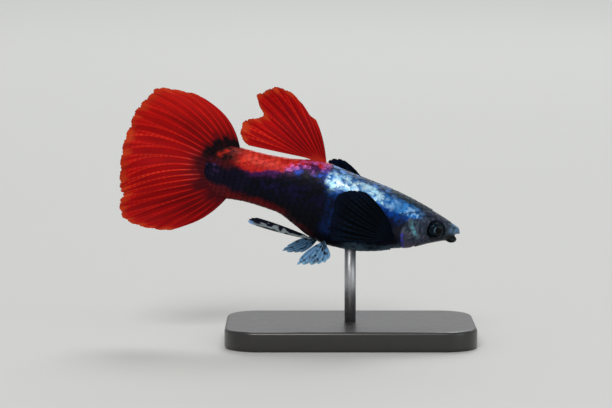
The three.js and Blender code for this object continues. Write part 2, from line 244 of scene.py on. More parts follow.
def paintedMaterial(name, settings):
    # colour from the paint on each point, broken up by fine grain, with grain in the gloss and surface too
    material, nodes, links, shader = newMaterial(name)
    paint = nodes.new("ShaderNodeAttribute")
    paint.attribute_name = "paint"
    speck = grain(nodes, links, settings["speckPerMetre"], 2, "ShaderNodeTexVoronoi")
    cloud = grain(nodes, links, settings["cloudPerMetre"], 4)
    tone = nodes.new("ShaderNodeMix")
    tone.data_type = "RGBA"
    tone.blend_type = "MULTIPLY"
    tone.inputs["Factor"].default_value = 1
    speckTone = ranged(nodes, links, speck.outputs["Color"], 1 - settings["speck"], 1 + settings["speck"])
    cloudTone = ranged(nodes, links, cloud.outputs["Fac"], 1 - settings["cloud"], 1 + settings["cloud"])
    both = nodes.new("ShaderNodeMath")
    both.operation = "MULTIPLY"
    links.new(speckTone, both.inputs[0])
    links.new(cloudTone, both.inputs[1])
    links.new(paint.outputs["Color"], tone.inputs[6])
    links.new(both.outputs["Value"], tone.inputs[7])
    links.new(tone.outputs[2], shader.inputs["Base Color"])
    if settings.get("pearl"):
        pearl = nodes.new("ShaderNodeAttribute")
        pearl.attribute_name = "pearl"
        links.new(pearl.outputs["Fac"], shader.inputs["Metallic"])
    addSurface(nodes, links, shader, cloud, speck.outputs["Distance"], settings, 0.00002)
    setInputs(shader, {
        "Specular IOR Level": settings["shine"],
        "Coat Weight": settings.get("coat", 0),
        "Coat Roughness": 0.12,
        "Subsurface Weight": settings.get("glow", 0),
        "Subsurface Radius": (1.0, 0.4, 0.3),
        "Subsurface Scale": 0.0004,
    })
    return material


# speck and cloud are how strongly the fine and the broad grain vary the colour
finishes = {
    "skin": {
        "speckPerMetre": 9000, "cloudPerMetre": 1500, "speck": 0.16, "cloud": 0.25, "pearl": True,
        "roughness": (0.32, 0.52), "bump": 0.35, "shine": 0.2, "coat": 0.06, "glow": 0.05,
    },
    "scale": {
        "speckPerMetre": 7000, "cloudPerMetre": 1200, "speck": 0.22, "cloud": 0.22, "pearl": True,
        "roughness": (0.34, 0.52), "bump": 0.3, "shine": 0.08, "coat": 0.02,
    },
    "fin": {
        "speckPerMetre": 6000, "cloudPerMetre": 700, "speck": 0.08, "cloud": 0.16,
        "roughness": (0.5, 0.68), "bump": 0.2, "shine": 0.06,
    },
    "eye": {
        "speckPerMetre": 14000, "cloudPerMetre": 3000, "speck": 0.15, "cloud": 0.2, "pearl": True,
        "roughness": (0.06, 0.1), "bump": 0.01, "shine": 0.09,
    },
}
finishes["darkFin"] = {**finishes["fin"], "roughness": (0.42, 0.6), "shine": 0.03}
skinMaterial = paintedMaterial("fish skin", finishes["skin"])
scaleMaterial = paintedMaterial("fish scales", finishes["scale"])
finMaterial = paintedMaterial("fin membrane", finishes["fin"])
darkFinMaterial = paintedMaterial("black fin membrane", finishes["darkFin"])
eyeMaterial = paintedMaterial("eye", finishes["eye"])
print("materials made")


# the body's form

bodyForm = {
    # along, back above the axis, belly below it, half width
    "stations": [
        (1.0, 3.15, 3.2, 1.0), (4.0, 3.2, 2.9, 1.25), (7.5, 3.5, 3.05, 1.6), (10.0, 4.0, 3.95, 1.95),
        (12.0, 4.2, 4.8, 2.2), (14.5, 3.9, 5.3, 2.45), (17.5, 3.55, 5.15, 2.55), (20.0, 3.25, 4.6, 2.5),
        (22.5, 2.8, 3.65, 2.35), (24.5, 2.3, 2.85, 2.1), (26.5, 1.75, 1.85, 1.75), (28.0, 1.25, 1.15, 1.35),
        (29.0, 0.75, 0.75, 0.95),
    ],
    "snout": 29.0,
    "tailCap": 3.2,  # the flesh ends in this radius over the tail fin's root
    "tailFlat": 0.6,  # how much it thins towards the fin
    "straightAt": 15.0,
    "tailSweep": 1.1,  # to the fish's left
    "headSweep": 0.35,
    "noseFrom": 27.9,  # the nose rounds off from here
    "noseLong": 1.2,
}
stations = np.array(bodyForm["stations"])
backLine = smoothLine(stations[:, [0, 1]])
bellyLine = smoothLine(stations[:, [0, 2]])
halfLine = smoothLine(stations[:, [0, 3]])


def roundTail(x):
    return np.sqrt(np.clip(1 - (np.maximum(1 - x, 0) / bodyForm["tailCap"]) ** 2, 1e-6, 1))


def backAt(x):
    return backLine(x) * roundTail(x)


def bellyAt(x):
    return bellyLine(x) * roundTail(x)


def halfAt(x):
    flat = 1 - bodyForm["tailFlat"] * soft(3.2, -2.2, x)
    return halfLine(x) * flat * np.where(x >= 1, 1, 0.3 + 0.7 * roundTail(x) ** 0.8)


def sweepAt(x):
    straight = bodyForm["straightAt"]
    tail = np.maximum(0, straight - x) / straight
    head = np.maximum(0, x - straight) / (bodyForm["snout"] - straight)
    return bodyForm["tailSweep"] * tail**2 + bodyForm["headSweep"] * head**2


def bodyPoint(x, turn):
    # turn is 0 on the back, a quarter on the left side
    height = np.where(np.cos(turn) > 0, backAt(x), bellyAt(x))
    return np.stack([x + 0 * turn, sweepAt(x) + np.sin(turn) * halfAt(x), np.cos(turn) * height], axis=-1)


def bodyNormal(x, turn):
    along = bodyPoint(x + 0.02, turn) - bodyPoint(x - 0.02, turn)
    around = bodyPoint(x, turn + 0.01) - bodyPoint(x, turn - 0.01)
    normal = np.cross(around, along)
    return normal / np.maximum(np.linalg.norm(normal, axis=-1, keepdims=True), 1e-9)


# the head's features

headForm = {
    "eye": {
        "x": 26.55, "y": 1.29, "z": -0.1, "turn": 14,
        "long": 1.02, "deep": 0.64, "tall": 0.96, "full": 2.7,
    },
    "upperLip": {"x": 28.8, "z": 0.46, "long": 0.66, "half": 0.86, "tall": 0.45, "turn": 12},
    "lowerJaw": {"x": 28.74, "z": -0.78, "long": 0.66, "half": 0.78, "tall": 0.45, "turn": -10},
    "mouth": {
        "from": (27.2, -0.15), "rise": 0.03, "droop": 0.32, "depth": 0.34, "open": 0.055, "half": 0.62,
    },
    "nostril": {"x": 28.0, "y": 0.5, "z": 1.12, "size": 0.095},
    "gillEdge": {"x": 22.5, "z": -1.2, "curve": 0.19, "top": 1.3, "bottom": -3.6},
    "cheekEdge": {"x": 24.9, "z": -0.9, "curve": 0.14},
    "skinDepth": 0.06,  # under the scales
}


def gillLine(z):
    g = headForm["gillEdge"]
    return g["x"] + g["curve"] * (z - g["z"]) ** 2


def cheekLine(z):
    c = headForm["cheekEdge"]
    return c["x"] + 0.3 - c["curve"] * (z - c["z"]) ** 2


def blendIn(a, b, width):
    # joins two fields with a soft seam
    h = np.clip(0.5 + 0.5 * (b - a) / width, 0, 1)
    return b + (a - b) * h - width * h * (1 - h)


def ballField(x, y, z, form):
    ax, az = turned(x - form["x"], z - form["z"], form["turn"])
    q = np.sqrt((ax / form["long"]) ** 2 + (y / form["half"]) ** 2 + (az / form["tall"]) ** 2)
    return (q - 1) * min(form["long"], form["half"], form["tall"])


def mouthSlit(x, side, z):
    # 1 in the mouth's opening, which droops towards its corners
    m = headForm["mouth"]
    angle = np.arctan2(z - m["from"][1], np.maximum(x - m["from"][0], 0.2))
    line = m["rise"] - m["droop"] * (side / 0.8) ** 2
    reach = soft(28.1, 28.5, x) * soft(m["half"] + 0.3, m["half"], side)
    return bell(angle - line, m["open"]) * reach


def eyeReach(x, y, z):
    # 1 on the eyeball's surface, y measured out from the middle
    e = headForm["eye"]
    ax, ay = turned(x - e["x"], y - e["y"], e["turn"])
    flat = np.sqrt((ax / e["long"]) ** 2 + ((z - e["z"]) / e["tall"]) ** 2)
    return (flat ** e["full"] + np.abs(ay / e["deep"]) ** e["full"]) ** (1 / e["full"]), flat


def skinField(x, y, z):
    # below zero inside the skin
    side = np.abs(y - sweepAt(x))
    nose = np.maximum(0, x - bodyForm["noseFrom"]) / bodyForm["noseLong"]
    rounding = np.sqrt(np.clip(1 - nose**2, 1e-4, 1))
    height = np.where(z > 0, backAt(x), bellyAt(x)) * rounding
    half = halfAt(x) * rounding
    q = np.sqrt((side / half) ** 2 + (z / height) ** 2)
    body = (q - 1) * np.minimum(half, height)
    scaled = soft(23.5, 21.5, x - 1.5 * soft(0.5, 2, z))
    body = body + headForm["skinDepth"] * scaled
    # the gill cover stands proud of the flank behind it, and the cheek of the cover
    low, high = headForm["gillEdge"]["bottom"], headForm["gillEdge"]["top"]
    gillSide = soft(low, low + 0.8, z) * soft(high, high - 0.8, z)
    behind = x - gillLine(z)
    body = body - 0.11 * gillSide * soft(-0.05, 0.06, behind) * soft(2.2, 0.3, behind)
    body = body + 0.09 * gillSide * bell(behind + 0.12, 0.16)
    cheek = x - cheekLine(z)
    body = body - 0.05 * gillSide * soft(-0.08, 0.05, cheek) * soft(1.2, 0.2, cheek)
    body = body + 0.045 * gillSide * bell(cheek + 0.1, 0.12)
    # a groove runs back from the corner of the mouth
    jawLine = z + 0.35 + 0.42 * (28.4 - x)
    body = body + 0.07 * bell(jawLine, 0.1) * soft(27.1, 27.5, x) * soft(28.8, 28.4, x)
    # jaws, with the mouth a little open between them
    body = blendIn(body, ballField(x, side, z, headForm["upperLip"]), 0.6)
    body = blendIn(body, ballField(x, side, z, headForm["lowerJaw"]), 0.28)
    body = body + headForm["mouth"]["depth"] * mouthSlit(x, side, z)
    # eye sockets with a raised rim
    reach, flat = eyeReach(x, side, z)
    body = body - 0.03 * bell(flat - 1.06, 0.1) * soft(0.5, 1.0, side)
    body = -blendIn(-body, (reach - 1.0) * 0.66, 0.04)
    n = headForm["nostril"]
    for back, share in ((0, 1.0), (0.42, 0.8)):
        dx, dy, dz = x - n["x"] + back, side - n["y"] - back * 0.4, z - n["z"] - back * 0.18
        reach = np.sqrt(dx**2 + dy**2 + dz**2) - n["size"] * share
        body = body - 0.04 * bell(reach - 0.08, 0.07)
        body = -blendIn(-body, reach, 0.04)
    return body


def markings(points):
    # the fish's colours, with painted shade round the eye sockets and in the mouth, and how pearly it is,
    # from the place on its body
    x, y, z = points.T
    height = np.where(z > 0, backAt(x), bellyAt(x))
    level = z / np.maximum(height, 0.3)
    side = np.abs(y - sweepAt(x))
    patch = mottle(points, 0.9, 1)
    dots = mottle(points, 0.3, 2)
    flecks = mottle(points * np.array((1, 1, 0.5)), 0.17, 4)  # taller than long
    paint, pearl = colour(4, 5, 14), 0.2

    def lay(over, mask, shine):
        nonlocal paint, pearl
        mask = np.clip(mask, 0, 1)
        paint = layer(paint, over, mask)
        pearl = pearl + (shine - pearl) * mask

    front = soft(12.3, 13.2, x + 0.6 * patch + 0.4 * dots)
    rear = 1 - front
    # rear half: navy with a purple shimmer, and red along the top and bottom of the tail stalk
    lay((18, 16, 52), 0.85 * bell(z + 0.1, 1.2) * rear * soft(-0.12, 0.2, dots), 0.4)
    redEdge = smoothLine([
        (-2.2, 1.5), (1.5, 1.0), (3, 0.85), (5, 1.35), (7.6, 2.5), (9.4, 3.3), (11.5, 3.8), (12.8, 4.3),
    ])(x)
    above = z - redEdge + 0.35 * patch + 0.45 * dots
    nearDorsal = soft(7, 8, x) * soft(14.3, 13.4, x)
    lay((70, 26, 84), 0.85 * bell(above + 0.25, 0.42) * soft(1.5, 4, x) * rear, 0.4)
    lay((176, 26, 20), soft(-0.1, 0.15, above) * soft(12.9, 12.2, x), 0.12)
    lay((208, 62, 40), 0.7 * soft(0.2, 0.9, above) * soft(-0.1, 0.2, dots) * soft(12.7, 12, x), 0.12)
    lay((196, 100, 176), bell(above, 0.55) * nearDorsal * soft(-0.04, 0.12, flecks + 0.5 * dots), 0.4)
    spots = bell(np.hypot((x - 11.9) * 0.55, z - 2.75), 0.55) * soft(-0.06, 0.08, flecks + 0.5 * dots)
    lay((22, 78, 196), spots + 0.9 * bell(np.hypot(x - 8.8, z - 2.3), 0.3), 0.35)
    lay((92, 5, 9), soft(0.6, 0.8, -level + 0.2 * patch) * soft(9.5, 7.5, x), 0.1)
    lay((88, 12, 12), bell(x - 10.9, 1.0) * soft(0.78, 0.9, -level) * soft(-0.3, 0.1, patch), 0.05)
    # the flesh over the tail fin's root: maroon above and below, navy between, black blots and red dots
    root = soft(2.2, 0.6, x + 1.4 * patch)
    lay((78, 12, 18), 0.9 * root, 0.12)
    rootNavy = soft(4.0, 2.6, x) * soft(-2.1, -1.5, z + 0.5 * dots) * soft(1.1, 0.2, z + 0.8 * patch)
    lay((12, 9, 28), rootNavy, 0.25)
    lay((70, 46, 92), root * bell(z - 0.3, 0.9) * bell(x + 1.3, 0.7) * soft(0.02, 0.16, dots), 0.4)
    lay((8, 5, 9), root * soft(0.6, 1.6, z) * soft(-0.14, 0.06, patch + 0.7 * dots), 0.12)
    lay((128, 40, 32), root * bell(x - 1.4, 1.0) * soft(0.9, 1.5, z)
        * soft(-0.02, 0.12, flecks + dots), 0.15)
    redDots = bell(np.hypot(x + 0.1, z - 2.35), 0.22) + bell(np.hypot(x + 0.75, z - 1.8), 0.26)
    lay((196, 40, 26), redDots, 0.1)
    # front half: navy flank, slate back
    lay((11, 18, 42), front * soft(-4.8, 1, z), 0.35)
    strip = soft(12.7, 13.6, x + 0.5 * patch) * soft(15.6, 14.6, x) * soft(-4.6, -3, z) * soft(2.2, 1.4, z)
    lay((12, 40, 92), 0.85 * strip * soft(-0.22, 0.12, dots), 0.5)
    bandZ = smoothLine([(11.5, 2.4), (13.4, 2.6), (17.2, 2.35), (21, 1.62), (24.8, 1.1)])(x)
    bandHalf = smoothLine([(11.5, 0.75), (13.4, 0.95), (17.2, 0.82), (21, 0.75), (25, 0.5)])(x)
    off = (z - bandZ) / bandHalf
    along = soft(12.3, 13.1, x + 0.7 * patch) * soft(25.2, 24.0, x + 0.8 * patch)
    lay((34, 48, 60), front * soft(0.9, 1.3, off + 0.3 * dots), 0.35)
    lay((12, 66, 140), along * soft(1.9, 1.1, np.abs(off + 0.45) + dots) * soft(-0.3, 0.1, dots), 0.55)
    under = soft(-0.9, -0.3, z) * soft(1.5, 1.0, z)
    lay((6, 54, 132), bell(x - 20.9, 2.0) * under * soft(-0.1, 0.12, dots), 0.55)
    lay((84, 128, 190), 0.85 * front * soft(0.8, 1.1, off) * soft(0.04, 0.14, flecks)
        * soft(21.5, 18.5, x), 0.5)
    # the platinum band, brightest at its rear end and azure towards the head
    towardsHead = soft(19.0, 22.5, x + patch)
    core = along * soft(1.2, 0.7, np.abs(off) + 0.5 * patch + 0.6 * dots)
    lay((28, 96, 164), core, 0.5)
    pale = core * soft(-0.12, 0.06, flecks + 0.4 * dots + 0.08 * (1 - towardsHead))
    lay((166, 214, 236), pale * (1 - towardsHead), 0.45)
    lay((48, 128, 200), pale * towardsHead, 0.45)
    lay((222, 242, 250), pale * bell(x - 15.0, 3.4) * soft(0.0, 0.14, dots + 0.6 * flecks), 0.35)
    lay((134, 180, 226), core * towardsHead * soft(0.06, 0.14, flecks + 0.3 * dots), 0.5)
    # belly and breast
    lay((72, 96, 112), soft(0.78, 0.97, -level + 0.25 * patch + 0.15 * dots) * soft(15, 18, x)
        * soft(24, 22, x), 0.3)
    lay((38, 36, 46), bell(x - 21.6, 1.1) * bell(z + 1.9, 1.3) * soft(-0.3, 0.2, patch), 0.2)
    # head
    crown = 0.8 * soft(0.4, 1.2, z) * soft(25, 23.5, x)
    cover = soft(-0.1, 0.1, x - gillLine(z)) * (1 - core) * (1 - crown)
    headMask = np.maximum(cover, soft(24.4, 25.6, x))
    lay((32, 48, 64), headMask, 0.25)
    lay((68, 68, 82), headMask * soft(0.1, 1.2, -z) * soft(26.6, 25.4, x) * soft(-0.35, 0.1, patch), 0.3)
    lay((50, 58, 64), headMask * soft(0.6, 1.3, -z) * soft(25, 26.5, x), 0.2)
    lay((38, 52, 60), soft(26.9, 27.6, x), 0.25)
    lay((30, 42, 54), soft(24, 26, x) * soft(0.7, 1.4, z), 0.25)
    lay((66, 62, 92), headMask * soft(0.1, 0.2, dots) * 0.6, 0.3)
    lay((16, 24, 34), 0.6 * headMask * soft(0.03, 0.15, flecks + 0.3 * dots), 0.2)
    lay((92, 104, 116), 0.35 * headMask * soft(0.1, 0.18, -flecks - 0.3 * patch), 0.35)
    reach, flat = eyeReach(x, side, z)
    # darker round the eye's socket, most at its rim where the eyeball sits in the head: painted shade
    lay((14, 21, 30), bell(np.maximum(flat - 1.02, 0), 0.34) * soft(0.4, 0.9, side), 0.2)
    edge = x - gillLine(z)
    low = soft(-3.6, -3.0, z) * soft(-1.1, -1.7, z + 0.8 * dots)
    lay((70, 78, 222), bell(edge - 0.2, 0.17) * low * soft(-0.4, 0.1, dots), 0.6)
    slant = (x - 24.0) * 0.78 + (z + 0.75) * 0.62 + 0.3 * dots
    lean = (x - 24.0) * 0.62 - (z + 0.75) * 0.78
    lay((100, 164, 182), bell(slant - 0.1 * lean**2, 0.19) * bell(lean, 0.9)
        * soft(-0.45, 0.0, flecks), 0.6)
    lay((90, 80, 98), soft(2.0, 2.8, -z) * soft(22.8, 23.6, x) * soft(26.5, 25, x) * 0.7, 0.3)
    # jaws
    lay((80, 112, 142), soft(27.8, 28.9, x + 0.5 * patch) * soft(-0.15, 0.1, z)
        * soft(-0.4, 0.1, patch + dots), 0.3)
    lay((4, 8, 10), soft(27.9, 28.3, x - 0.2 * z) * soft(-0.22, -0.42, z), 0.15)
    # dark red in the mouth's opening: the mouth's own colour, darkened to painted shade
    lay((22, 7, 9), soft(0.25, 0.7, mouthSlit(x, side, z)), 0.0)
    return paint, pearl


# skin

skinGrid = {
    "around": 200,
    "tailRows": 34,
    "bodyRows": 150,
    "headRows": 120,
    "noseRows": 96,
    "headFrom": 20.0,  # finer rows from here on
    "noseCentre": (27.2, -0.15),
    "step": 0.11,  # each ray feels its way out by this much
    "steps": 56,
    "halvings": 10,
}


def makeSkin():
    # rays run out from the body's middle line, fanned at both ends, and stop at the skin
    g = skinGrid
    noseX, noseZ = g["noseCentre"]
    fan = np.linspace(0.02, 1, g["tailRows"], endpoint=False) * math.pi / 2
    noseFan = np.linspace(0, 1, g["noseRows"]) ** 0.9 * (math.pi / 2 - 0.012)
    bodyX = np.linspace(1, g["headFrom"], g["bodyRows"], endpoint=False)
    middle = np.concatenate([bodyX, np.linspace(g["headFrom"], noseX, g["headRows"])])
    rowX = np.concatenate([np.full(len(fan), 1.0), middle, np.full(len(noseFan) - 1, noseX)])
    lean = np.concatenate([fan - math.pi / 2, np.zeros(len(middle)), noseFan[1:]])
    turn = np.linspace(0, 2 * math.pi, g["around"], endpoint=False)
    startX, turns = np.meshgrid(rowX, turn, indexing="ij")
    leans = np.repeat(lean[:, None], len(turn), axis=1)
    startZ = noseZ * soft(21, noseX, startX)
    direction = [np.sin(leans), np.cos(leans) * np.sin(turns), np.cos(leans) * np.cos(turns)]
    direction = np.stack(direction, axis=-1)
    start = np.stack([startX, sweepAt(startX), startZ], axis=-1)

    def fieldAt(reach):
        p = start + direction * reach[..., None]
        return skinField(p[..., 0], p[..., 1], p[..., 2])

    reach = np.zeros(startX.shape)
    found = np.zeros(startX.shape, bool)
    for _ in range(g["steps"]):
        found |= fieldAt(reach + g["step"]) > 0
        reach = np.where(found, reach, reach + g["step"])
    low, high = reach, reach + g["step"]
    for _ in range(g["halvings"]):
        mid = (low + high) / 2
        outside = fieldAt(mid) > 0
        low, high = np.where(outside, low, mid), np.where(outside, mid, high)
    points = (start + direction * ((low + high) / 2)[..., None]).reshape(-1, 3)
    rows, columns = startX.shape
    poles = np.array([points[:columns].mean(axis=0), points[-columns:].mean(axis=0)])
    allPoints = np.vstack([points, poles])
    across = np.repeat((np.arange(rows) + 0.5) / rows, columns)
    around = np.tile((np.arange(columns) + 0.5) / columns, rows)
    bakeMap = np.vstack([np.stack([across, around], axis=-1), [(0, 0.5), (1, 0.5)]])
    paint, pearl = markings(allPoints)
    x, z = allPoints[:, 0], allPoints[:, 2]
    # the skin between the scales is darkened: the dark reticulation round the scales, and painted shade in
    # the gaps between them
    reticulationAndShade = soft(23.0, 21.8, x - 2.4 * soft(0.6, 1.8, z))  # darker under the scales
    paint = paint * (1 - 0.5 * reticulationAndShade)[:, None]
    faces = roundFaces(rows, columns)
    piece = makePiece("skin", allPoints, faces, skinMaterial, paint, pearl, bakeMap)
    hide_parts("head", "jaw_lower", "gill_cover_left", "gill_cover_right", "trunk", "tail_stalk")


makeSkin()
print("skin made")


# scales

scaleForm = {
    "around": 26,  # scales round the body
    "smallStep": 0.42,  # along the body, grows with the girth
    "stepForGirth": 0.019,
    "behind": -3.7,  # first row, measured round the flesh's tail end
    "before": 25,  # the rows end here
    "faceEdge": 22.3,  # they end here on the sides
    "crownReach": 3.9,  # and this much further forward on the crown
    "sizeSpread": 0.05,
    "toneSpread": 0.08,
    "long": 1.7,  # of a row's step
    "wide": 1.16,  # of the room round the body
    "rootSunk": -0.06,
    "tipRaised": 0.018,
    "crown": 0.022,
    "thick": 0.022,
    "rings": 7,
    "spokes": 22,
    "sharpFrom": 40,  # degrees between faces
    "patch": 0.0015,  # half a scale's room on the skin's map
    "mapFrom": -2.2,  # the map runs along the body from here
    "mapLong": 31.6,
    "mapMargin": 0.01,
    # each piece's scales are rooted from here to there along the body
    "lengths": {"tail_scales": (-9, 8.5), "trunk_scales": (8.5, 16.0), "breast_scales": (16.0, 40)},
}
shares = np.linspace(0, 1, 241)
measuredAt = np.linspace(-2.19, 27.5, 140)


def measureRound():
    # where each share of the way round the body lies, row by row, and how far it is round
    turn = np.linspace(0, 2 * math.pi, 721)
    turns, girths = [], []
    for x in measuredAt:
        ring = bodyPoint(np.full(turn.shape, x), turn)
        length = np.concatenate([[0], np.cumsum(np.linalg.norm(np.diff(ring, axis=0), axis=1))])
        turns.append(np.interp(shares, length / length[-1], turn))
        girths.append(length[-1])
    return np.array(turns), np.array(girths)


roundTurns, girths = measureRound()


def turnOf(x, share):
    whole = np.floor(share)
    i = np.clip((x - measuredAt[0]) / (measuredAt[1] - measuredAt[0]), 0, len(measuredAt) - 1.001)
    j = (share - whole) * (len(shares) - 1)
    low, left = np.floor(i).astype(int), np.minimum(np.floor(j).astype(int), len(shares) - 2)
    fi, fj = i - low, j - left
    near = roundTurns[low, left] * (1 - fj) + roundTurns[low, left + 1] * fj
    far = roundTurns[low + 1, left] * (1 - fj) + roundTurns[low + 1, left + 1] * fj
    return near * (1 - fi) + far * fi + whole * 2 * math.pi


def alongToX(along):
    # along counts round the curve of the tail end, and level from there on
    cap = bodyForm["tailCap"]
    return np.where(along > 0, 1 + along, 1 - cap * np.sin(np.clip(-along / cap, 0, 1.45)))


def findRoots():
    # each scale's place along the body, its share of the way round, and its row's step
    f = scaleForm
    roots = []
    along, row = f["behind"], 0
    while along < f["before"]:
        x = float(alongToX(along))
        step = f["smallStep"] + f["stepForGirth"] * np.interp(x, measuredAt, girths)
        for column in range(f["around"]):
            share = (column + 0.5 * (row % 2)) / f["around"]
            upper = soft(0.25, 0.8, math.cos(float(turnOf(np.array(x), np.array(share)))))
            if x < f["faceEdge"] + f["crownReach"] * upper:
                roots.append((along, share, step))
        along += step
        row += 1
    return np.array(roots)


def oneScale():
    # rings of points round a middle, then one more ring and a middle that close the underside
    rings, spokes = scaleForm["rings"], scaleForm["spokes"]
    ring = np.concatenate([[0]] + [np.full(spokes, k / rings) for k in range(1, rings + 1)])
    angle = np.concatenate([[0]] + [np.arange(spokes) / spokes * 2 * math.pi] * rings)
    back = 0.5 + 0.5 * ring * np.cos(angle)  # 0 at the root, 1 at the free edge
    across = ring * np.sin(angle)
    back = np.concatenate([back, back[-spokes:], [0.5]])
    across = np.concatenate([across, across[-spokes:], [0]])
    under = np.concatenate([np.zeros(len(ring)), np.full(spokes, 1.0), [1.6]])
    rim = np.concatenate([ring, np.ones(spokes), [0]])
    faces = []
    for j in range(spokes):
        k = (j + 1) % spokes
        faces.append((0, 1 + j, 1 + k))
        for r in range(rings):
            a, b = 1 + r * spokes, 1 + (r + 1) * spokes
            faces.append((a + j, b + j, b + k))
            faces.append((a + j, b + k, a + k))
        last = 1 + rings * spokes
        faces.append((last + j, len(back) - 1, last + k))
    return back, across, under, rim, np.array(faces)


def makeScales(name, low, high):
    f = scaleForm
    rng = np.random.default_rng(int(low * 10) + 100)
    roots = allRoots[(allRoots[:, 0] >= low) & (allRoots[:, 0] < high)]
    count = len(roots)
    size = 1 + f["sizeSpread"] * rng.standard_normal(count)
    tone = 1 + f["toneSpread"] * rng.standard_normal(count)
    back, across, under, rim, one = oneScale()
    place = roots[:, :1] + roots[:, 2:] * (0.45 - back[None, :] * f["long"] * size[:, None])
    share = roots[:, 1:2] + across[None, :] * f["wide"] * 0.5 / f["around"] * size[:, None]
    x = alongToX(place)
    turn = turnOf(x, share)
    height = f["rootSunk"] + (f["tipRaised"] - f["rootSunk"]) * back
    height = height + f["crown"] * (1 - across**2) - f["thick"] * under
    height = height - 0.035 * soft(21.5, 25.5, x)  # they sink into the skin over the head
    points = (bodyPoint(x, turn) + bodyNormal(x, turn) * height[..., None]).reshape(-1, 3)
    faces = (one[None] + (np.arange(count) * len(back))[:, None, None]).reshape(-1, 3)
    rootX = alongToX(roots[:, 0] - 0.2)
    paint, pearl = markings(points)
    # a dark free edge, faint growth rings, and shade where the scale in front overlaps
    edge = soft(0.74, 0.98, rim) * soft(0.3, 0.8, back)
    growth = 0.07 * np.cos(rim * 30) * soft(0.3, 0.6, rim)
    shade = (1 - 0.66 * edge + growth)[None, :] * tone[:, None] * (1 - 0.2 * soft(0.6, 0.2, back))
    paint = paint * shade.reshape(-1, 1)
    mapX = ((rootX - f["mapFrom"]) / f["mapLong"])[:, None] + (back[None, :] - 0.5) * 2 * f["patch"]
    mapY = roots[:, 1:2] + across[None, :] * f["patch"]
    bakeMap = np.stack([mapX, mapY], axis=-1).reshape(-1, 2)
    bakeMap = bakeMap * (1 - 2 * f["mapMargin"]) + f["mapMargin"]
    print(name, "has", count, "scales")
    piece = makePiece(name, points, faces, scaleMaterial, paint, pearl, bakeMap, sharpFrom=f["sharpFrom"])


allRoots = findRoots()
for name, (low, high) in scaleForm["lengths"].items():
    makeScales(name, low, high)
print("scales made")


# eyes

eyeForm = {
    "rings": 60,
    "spokes": 96,
    "pupil": 0.44,  # of the eye's half width
    "ahead": 0.17,  # the pupil looks forward and a little up
    "up": 0.08,
    "iris": 0.8,
    "lensBulge": 0.07,
}


def makeEye(name, side):
    e, f = headForm["eye"], eyeForm
    lean = np.linspace(0, math.pi, f["rings"])
    spoke = np.linspace(0, 2 * math.pi, f["spokes"], endpoint=False)
    leans, spokes = np.meshgrid(lean[1:-1], spoke, indexing="ij")
    radius = np.sin(leans)
    front = np.cos(leans) > 0
    bulge = np.where(front, f["lensBulge"] * soft(0.7, 0, radius), 0)
    groove = np.where(front, 0.03 * bell(radius - f["iris"], 0.04), 0)
    out = 1 + bulge - groove
    full = (radius ** e["full"] + np.abs(np.cos(leans)) ** e["full"]) ** (-1 / e["full"])
    ring = [radius * full * np.cos(spokes), np.cos(leans) * full * out, radius * full * np.sin(spokes)]
    local = np.stack(ring, axis=-1).reshape(-1, 3)
    local = np.vstack([local, [(0, 1 + f["lensBulge"], 0), (0, -1, 0)]])
    ahead = local[:, 0] - f["ahead"]
    up = local[:, 2] - f["up"]
    flat = np.hypot(ahead, up)
    isFront = local[:, 1] > 0
    angle = np.arctan2(up, ahead)
    streak = mottle(np.stack([angle * 5, flat * 2, angle * 0], axis=-1), 1.0, 9)
    paint = colour(5, 13, 20)
    paint = layer(paint, (11, 29, 43), soft(-0.2, 0.3, streak) * soft(f["pupil"], f["pupil"] + 0.1, flat))
    outside = flat - f["pupil"]
    paint = layer(paint, (84, 80, 60), 0.3 * bell(outside - 0.045, 0.035) * soft(-0.4, 0.2, streak))
    # a pale blue-grey crescent behind the pupil, towards the tail: a painted reflection of the lights on
    # the eye
    behind = soft(0.55, 0.95, -ahead / np.maximum(flat, 0.01)) * isFront
    paint = layer(paint, (96, 126, 148), 0.65 * behind * bell(outside - 0.07, 0.055))
    rimAway = np.hypot(local[:, 0], local[:, 2]) - f["iris"] - 0.06
    paint = layer(paint, (28, 40, 50), 0.4 * bell(rimAway, 0.06) * soft(-0.4, 0.3, streak))
    paint = layer(paint, (2, 2, 3), soft(f["pupil"] + 0.01, f["pupil"] - 0.03, flat) * isFront)
    pearl = np.where(flat > f["pupil"], 0.3, 0.0) * isFront
    local = local * np.array((e["long"], e["deep"], e["tall"]))
    x, y = turned(local[:, 0], side * local[:, 1], -side * e["turn"])
    y = y + sweepAt(np.array(e["x"])) + side * e["y"]
    points = np.stack([x + e["x"], y, local[:, 2] + e["z"]], axis=-1)
    faces = roundFaces(f["rings"] - 2, f["spokes"])
    if side > 0:
        faces = [corners[::-1] for corners in faces]
    piece = makePiece(name.replace("eye", "eyeball"), points, faces, eyeMaterial, paint, pearl)
    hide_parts(name)


for side, name in ((-1, "eye_right"), (1, "eye_left")):
    makeEye(name, side)
print("eyes made")


# fins

# A fin is a sheet swept from its root to its margin, both in mm, as (along, up).
# leaving is its heading at the root's two ends in degrees, and bow how far it keeps to that.
# thick is for root and margin, sunk is its depth in the flesh, and flare thickens it at the skin.
# split is where the rays branch, from 0 at the root to 1 at the margin.
finHabit = {
    "pleat": 0.0,
    "flare": 0.25,
    "joints": 70,
    "split": (0.3, 0.6),
    "ragged": 0.006,
    "columnsPerRay": 14,
}


def rayRidge(cell, t, split):
    # a ray in the middle of each cell that splits into two and then four towards the margin
    first, second = split
    spread = 0.24 * soft(first, 1.15, t)
    spread2 = 0.12 * soft(second, 1.15, t)
    width = 0.13 - 0.07 * soft(0, 1, t)
    ridge = 0
    for a in (-1, 1):
        for b in (-1, 1):
            ridge = np.maximum(ridge, bell(cell - a * spread - b * spread2, width))
    return ridge


